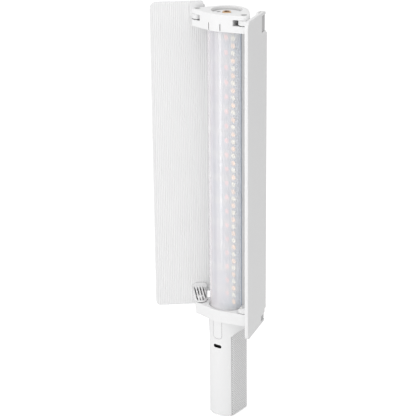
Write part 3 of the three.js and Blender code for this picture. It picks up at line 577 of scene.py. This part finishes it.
# ---------------------------------------------------------------------------------------------
# Doors
# ---------------------------------------------------------------------------------------------


def door_matrix(label):
    door = DOORS[label]
    pin = next(j["pos_m"] for j in frame["joints"] if j["name"] == label + "_door_hinge")
    place = Matrix.Translation((pin[0], pin[1], 0))
    return place @ Matrix.Rotation(-door["side"] * door["angle"], 4, "Z")


GROOVE_COUNT = int((DOOR_FREE_S - RIB_MARGIN - FIRST_RIB_S) / RIB_PITCH)
LAST_RIB_S = FIRST_RIB_S + RIB_PITCH * GROOVE_COUNT


def arc_insets(radius, degrees):
    """Distances from a straight edge to points along the round corner that starts there."""
    return [radius * (1 - math.sin(math.radians(a))) for a in degrees]


def rib_columns():
    """Distances from the pin at which the ribbed faces have a column of points."""
    ribs = [FIRST_RIB_S + RIB_PITCH * i / GROOVE_STEPS for i in range(GROOVE_COUNT * GROOVE_STEPS + 1)]
    corner = [DOOR_FREE_S - inset for inset in arc_insets(TOP_RADIUS, (15, 30, 45, 60, 75))]
    corner += [STRIP_S + inset for inset in arc_insets(HINGE_TOP_RADIUS, (20, 40, 60, 75))]
    fixed = [DOOR_HINGE_S, NOTCH_S, STRIP_S, WINDOW_FREE_S, DOOR_FREE_S] + corner
    kept = [s for s in ribs if min(abs(s - f) for f in fixed) > COLUMN_GAP]
    return sorted(kept + fixed)


def rib_sink(s):
    """How far the ribbed face lies under the flat one."""
    if not FIRST_RIB_S < s < LAST_RIB_S:
        return 0.0
    return RIB_DEPTH * (0.5 - 0.5 * math.cos(2 * math.pi * (s - FIRST_RIB_S) / RIB_PITCH))


def corner_drop(inset, radius):
    """How far a round corner has left the straight edge, at a distance past the start of its curve."""
    if inset <= 0:
        return 0.0
    return radius - math.sqrt(max(radius**2 - inset**2, 0))


def door_rows(s, bottom, top):
    """Heights of the rows' edges at distance s. They follow the round corners at both ends."""
    high = top - corner_drop(s - (DOOR_FREE_S - TOP_RADIUS), TOP_RADIUS)
    low = bottom + corner_drop(s - (DOOR_FREE_S - BOTTOM_RADIUS), BOTTOM_RADIUS)
    levels = [bottom, *LOWER_WINDOW, NOTCH_BOTTOM_Z, NOTCH_TOP_Z, *UPPER_WINDOW, top]
    rows = [low + (z - bottom) / (top - bottom) * (high - low) for z in levels]
    if s >= STRIP_S:
        rows[0] += corner_drop(STRIP_S + HINGE_BOTTOM_RADIUS - s, HINGE_BOTTOM_RADIUS)
        rows[-1] -= corner_drop(STRIP_S + HINGE_TOP_RADIUS - s, HINGE_TOP_RADIUS)
    return rows


def door_is_solid(s, row):
    """True where the door has material, between one row of points and the next."""
    if s < NOTCH_S:
        return row == MIDDLE_ROW
    if s < STRIP_S and row in STRIP_ROWS:
        return False
    return s > WINDOW_FREE_S or row not in WINDOW_ROWS


def door_panel(label):
    door = DOORS[label]
    low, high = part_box(label + "_door_panel")
    bottom, top = low.z / MM, high.z / MM
    columns = rib_columns()
    points = []
    index = {}

    def point(i, j, outer):
        if (i, j, outer) not in index:
            s = columns[i]
            z = door_rows(s, bottom, top)[j]
            if j == MIDDLE_ROW and not outer and s <= NOTCH_S:
                z += CHAMFER_H
            sink = rib_sink(s)
            q = door["inner_q"] + (DOOR_T - sink if outer else sink)
            index[i, j, outer] = len(points)
            points.append((door["side"] * s, q, z))
        return index[i, j, outer]

    def solid(i, j):
        inside = 0 <= i < len(columns) - 1 and 0 <= j < DOOR_ROWS
        return inside and door_is_solid((columns[i] + columns[i + 1]) / 2, j)

    faces = []
    for i in range(len(columns) - 1):
        for j in range(DOOR_ROWS):
            if not solid(i, j):
                continue
            corners = ((i, j), (i, j + 1), (i + 1, j + 1), (i + 1, j))
            faces.append([point(*corner, True) for corner in corners])
            inner_corners = corners[:1] + corners[:0:-1]
            faces.append([point(*corner, False) for corner in inner_corners])
            walls = (
                ((i - 1, j), (i, j), (i, j + 1)),
                ((i + 1, j), (i + 1, j + 1), (i + 1, j)),
                ((i, j - 1), (i + 1, j), (i, j)),
                ((i, j + 1), (i, j + 1), (i + 1, j + 1)),
            )
            for neighbour, start, end in walls:
                if not solid(*neighbour):
                    inner_edge = [point(*start, False), point(*end, False)]
                    outer_edge = [point(*end, True), point(*start, True)]
                    faces.append(inner_edge + outer_edge)
    if door["side"] < 0:
        faces = [face[::-1] for face in faces]
    piece = new_piece(label + "_door_ribbed_panel", points, faces, [RIBBED], door_matrix(label))
    fix_normals(piece)
    round_edges(piece, DOOR_ROUND, 50)
    add_nodes(piece, SMOOTH_AGAIN)
    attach(piece, label + "_door")
    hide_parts(label + "_door_panel")


# ---------------------------------------------------------------------------------------------
# Grip panels
# ---------------------------------------------------------------------------------------------


def grip_outline(half_width, bottom, rise):
    arch = [
        (half_width * math.cos(math.radians(a)), GRIP_SHOULDER_Z + rise * math.sin(math.radians(a)))
        for a in range(0, 181, 6)
    ]
    return [(-half_width, bottom), (half_width, bottom)] + arch


def prism_x(name, outline, x0, x1, look):
    """Closed solid with an outline in (y, z), from x0 to x1."""
    count = len(outline)
    points = [(x0, y, z) for y, z in outline] + [(x1, y, z) for y, z in outline]
    faces = [list(range(count))[::-1], list(range(count, 2 * count))]
    faces += [[i, (i + 1) % count, count + (i + 1) % count, count + i] for i in range(count)]
    return new_piece(name, points, faces, [look])


def knurled_slab(x_base, x_valley, x_peak, half_width, bottom, top):
    """Slab whose outer face is a field of small pyramids, set point to point."""
    step = KNURL_PITCH / 2
    a_max = math.ceil(half_width / step) + 1
    b_max = math.ceil((top - bottom) / step) + 1
    points = []
    index = {}
    for a in range(-a_max, a_max + 1):
        for b in range(-1, b_max + 1):
            index[a, b] = len(points)
            peak = (a + b) % 2 == 0
            points.append((x_peak if peak else x_valley, a * step, bottom + b * step))
    faces = []
    for a in range(-a_max, a_max):
        for b in range(-1, b_max):
            corners = [index[a, b], index[a + 1, b], index[a + 1, b + 1], index[a, b + 1]]
            if (a + b) % 2 == 0:
                faces += [[corners[0], corners[1], corners[3]], [corners[1], corners[2], corners[3]]]
            else:
                faces += [[corners[0], corners[1], corners[2]], [corners[0], corners[2], corners[3]]]
    rim = [(a, -1) for a in range(-a_max, a_max)]
    rim += [(a_max, b) for b in range(-1, b_max)]
    rim += [(a, b_max) for a in range(a_max, -a_max, -1)]
    rim += [(-a_max, b) for b in range(b_max, -1, -1)]
    base = []
    for a, b in rim:
        base.append(len(points))
        points.append((x_base, a * step, bottom + b * step))
    for k in range(len(rim)):
        after = (k + 1) % len(rim)
        faces.append([index[rim[k]], base[k], base[after], index[rim[after]]])
    faces.append(base[::-1])
    return points, faces


def grip_panel(label, side):
    low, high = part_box("grip_panel_" + label)
    half_width, bottom, top = high.y / MM, low.z / MM, high.z / MM
    inner = min(abs(low.x), abs(high.x)) / MM
    outer = max(abs(low.x), abs(high.x)) / MM
    valley = outer - KNURL_DEPTH
    rise = top - GRIP_SHOULDER_Z
    plate = prism_x("plate", grip_outline(half_width, bottom, rise), inner, valley, GRIP)
    fix_normals(plate)
    points, faces = knurled_slab(valley - SLAB_T, valley, outer, half_width, bottom, top)
    piece = new_piece("grip_knurled_" + label, points, faces, [GRIP])
    fix_normals(piece)
    trim = prism_x(
        "trim",
        grip_outline(half_width - GRIP_RIM, bottom + GRIP_RIM, rise - GRIP_RIM / 2),
        inner - 1,
        outer + 1,
        GRIP,
    )
    fix_normals(trim)
    combine(piece, trim, "INTERSECT")
    combine(piece, plate, "UNION")
    if side < 0:
        piece.data.transform(Matrix.Scale(-1, 4, (1, 0, 0)))
        piece.data.flip_normals()
    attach(piece, "light")
    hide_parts("grip_panel_" + label)


# ---------------------------------------------------------------------------------------------
# LEDs
# ---------------------------------------------------------------------------------------------


# Places in the LEDs' list of materials
CASE, WARM, COOL, COLOUR = range(4)


def led_chip(points, faces, looks, x, y, z, dome):
    """One LED: a square case, and a shallow round dome in it. It faces -Y."""
    half = LED_SIZE / 2
    start = len(points)
    for depth, size in ((0.0, half), (LED_HEIGHT - LED_CHAMFER, half), (LED_HEIGHT, half - LED_CHAMFER)):
        points.extend((x + sx * size, y - depth, z + sz * size) for sx, sz in SQUARE)
    for ring in range(2):
        for k in range(4):
            a, b = start + ring * 4 + k, start + ring * 4 + (k + 1) % 4
            faces.append([a, b, b + 4, a + 4])
            looks.append(CASE)
    faces.append([start + 8 + k for k in range(4)])
    looks.append(CASE)
    faces.append([start + 3 - k for k in range(4)])
    looks.append(CASE)
    dome_start = len(points)
    for share, rise in DOME_RINGS:
        radius = half * share
        depth = LED_HEIGHT + rise
        for k in range(DOME_SEGMENTS):
            angle = 2 * math.pi * k / DOME_SEGMENTS
            points.append((x + radius * math.cos(angle), y - depth, z + radius * math.sin(angle)))
    for ring in range(len(DOME_RINGS) - 1):
        ring_start = dome_start + ring * DOME_SEGMENTS
        for k in range(DOME_SEGMENTS):
            a = ring_start + k
            b = ring_start + (k + 1) % DOME_SEGMENTS
            faces.append([a, b, b + DOME_SEGMENTS, a + DOME_SEGMENTS])
            looks.append(dome)
    faces.append([len(points) - DOME_SEGMENTS + k for k in range(DOME_SEGMENTS)])
    looks.append(dome)
    faces.append([dome_start + DOME_SEGMENTS - 1 - k for k in range(DOME_SEGMENTS)])
    looks.append(dome)


def dome_look(column, row):
    """The right column alternates cool and warm, the middle one has a colour in every other row."""
    if column == 2:
        return COOL if row % 2 else WARM
    if column == 1 and row % 2:
        return COLOUR
    return CASE


def led_chips():
    low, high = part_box("led_board")
    y = low.y / MM
    length = (high.z - low.z) / MM
    count = int((length - LED_PITCH) / LED_PITCH) + 1
    first = (low.z + high.z) / 2 / MM - (count - 1) * LED_PITCH / 2
    points, faces, looks = [], [], []
    for row in range(count):
        for column, x in enumerate(LED_COLUMNS):
            led_chip(points, faces, looks, x, y, first + row * LED_PITCH, dome_look(column, row))
    piece = new_piece("led_chips", points, faces, [LED_CASE, LED_WARM, LED_COOL, LED_COLOUR], None, looks)
    fix_normals(piece)
    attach(piece, "light")


# ---------------------------------------------------------------------------------------------
# Stage, light and camera
# ---------------------------------------------------------------------------------------------


def floor():
    points = [(sx * FLOOR_HALF, sy * FLOOR_HALF, FLOOR_Z) for sx, sy in SQUARE]
    n = Nodes("floor_look")
    shade = n.noise(2.0)
    seen = n.add("ShaderNodeLightPath").outputs["Is Camera Ray"]
    shader = n.principled(
        Base_Color=n.mix(n.remap(shade, 0.0, 1.0), grey(0.95), grey(0.93)),
        Roughness=0.9,
        Specular_IOR_Level=0.1,
        Emission_Color=grey(1.0),
        Emission_Strength=n.remap(seen, 0.0, FLOOR_GLOW_AS_SEEN, 0.0, 1.0),
    )
    piece = new_piece("floor", points, [[0, 1, 2, 3]], [n.finish(shader)])


def area_light(name, azimuth, elevation, distance, width, height, power, aim=(0, 0, 0.25)):
    """A softbox, in metres and watts. Azimuth is measured as the camera's is: 0 is in front, on -Y."""
    light = bpy.data.lights.new(name, "AREA")
    light.shape = "RECTANGLE"
    light.size = width
    light.size_y = height
    light.energy = power
    lamp = bpy.data.objects.new(name, light)
    a, e = math.radians(azimuth), math.radians(elevation)
    away = Vector((math.sin(a) * math.cos(e), -math.cos(a) * math.cos(e), math.sin(e)))
    lamp.location = Vector(aim) + away * distance
    lamp.rotation_mode = "QUATERNION"
    lamp.rotation_quaternion = (-away).to_track_quat("-Z", "Y")
    lamp.visible_camera = False
    bpy.context.scene.collection.objects.link(lamp)


def studio():
    """A white room that is seen a little brighter than it lights, and two softboxes."""
    world = bpy.data.worlds.new("studio")
    world.use_nodes = True
    tree = world.node_tree
    background = tree.nodes["Background"]
    background.inputs["Color"].default_value = (1, 1, 1, 1)
    path = tree.nodes.new("ShaderNodeLightPath")
    strength = tree.nodes.new("ShaderNodeMapRange")
    strength.inputs["To Min"].default_value = WORLD_AS_LIGHT
    strength.inputs["To Max"].default_value = WORLD_AS_SEEN
    tree.links.new(path.outputs["Is Camera Ray"], strength.inputs["Value"])
    tree.links.new(strength.outputs["Result"], background.inputs["Strength"])
    bpy.context.scene.world = world
    area_light(
        "strip_front",
        azimuth=-5.5,
        elevation=0,
        distance=0.5,
        width=0.13,
        height=0.85,
        power=0.94,
        aim=(0, 0, 0.42),
    )
    area_light("overhead", azimuth=20, elevation=75, distance=1.6, width=1.0, height=1.0, power=5.6)
    view = bpy.context.scene.view_settings
    view.view_transform = "Standard"
    view.look = "None"


def camera():
    a, e, roll = CAMERA_AZIMUTH, CAMERA_ELEVATION, CAMERA_ROLL
    back = Vector((math.sin(a) * math.cos(e), -math.cos(a) * math.cos(e), math.sin(e)))
    right = Vector((math.cos(a), math.sin(a), 0))
    up = back.cross(right)
    tilted_right = right * math.cos(roll) + up * math.sin(roll)
    tilted_up = up * math.cos(roll) - right * math.sin(roll)
    aim = Vector((0, 0, CAMERA_AIM_HEIGHT)) - right * CAMERA_AIM_LEFT
    place = (aim + back * CAMERA_DISTANCE) * MM
    data = bpy.data.cameras.new("camera")
    data.lens = LENS
    data.sensor_width = SENSOR
    data.sensor_fit = "HORIZONTAL"
    data.clip_start = 0.05
    data.clip_end = 30
    eye = bpy.data.objects.new("camera", data)
    axes = Matrix((tilted_right, tilted_up, back)).transposed().to_4x4()
    eye.matrix_world = Matrix.Translation(place) @ axes
    bpy.context.scene.collection.objects.link(eye)
    bpy.context.scene.camera = eye


# ---------------------------------------------------------------------------------------------
# Build
# ---------------------------------------------------------------------------------------------

# Radius of the rounded edges, in mm
ROUNDING = {
    "left_door_upper_block": 0.3,
    "right_door_upper_block": 0.3,
    "left_door_lower_block": 0.3,
    "right_door_lower_block": 0.3,
    "handle_shell": 0.5,
    "lower_bracket": 0.6,
    "top_cap": 0.35,
    "front_tongue": 0.25,
    "left_door_upper_arm": 0.4,
    "right_door_upper_arm": 0.4,
    "left_door_lower_arm": 0.3,
    "right_door_lower_arm": 0.3,
    "control_panel": 0.25,
    "dial_knob": 0.15,
    "mode_button": 0.25,
    "power_button": 0.25,
    "channel_button": 0.25,
}
LOOKS = {"socket_shell": SOCKET, "tube_housing": HOUSING_PAINTED_SHADE, "top_cap": CAP}


def slot_of(name):
    return nodes[name].data.materials[0].name.split(".")[0]


def dress_all():
    for name in sorted(nodes):
        look = LOOKS.get(name) or SLOT_LOOKS[slot_of(name)]
        dress_cad_node(name, look, ROUNDING.get(name, 0.0))


camera()
dress_all()
for door_label in DOORS:
    door_panel(door_label)
grip_panel("left", -1)
grip_panel("right", 1)
led_chips()
floor()
studio()
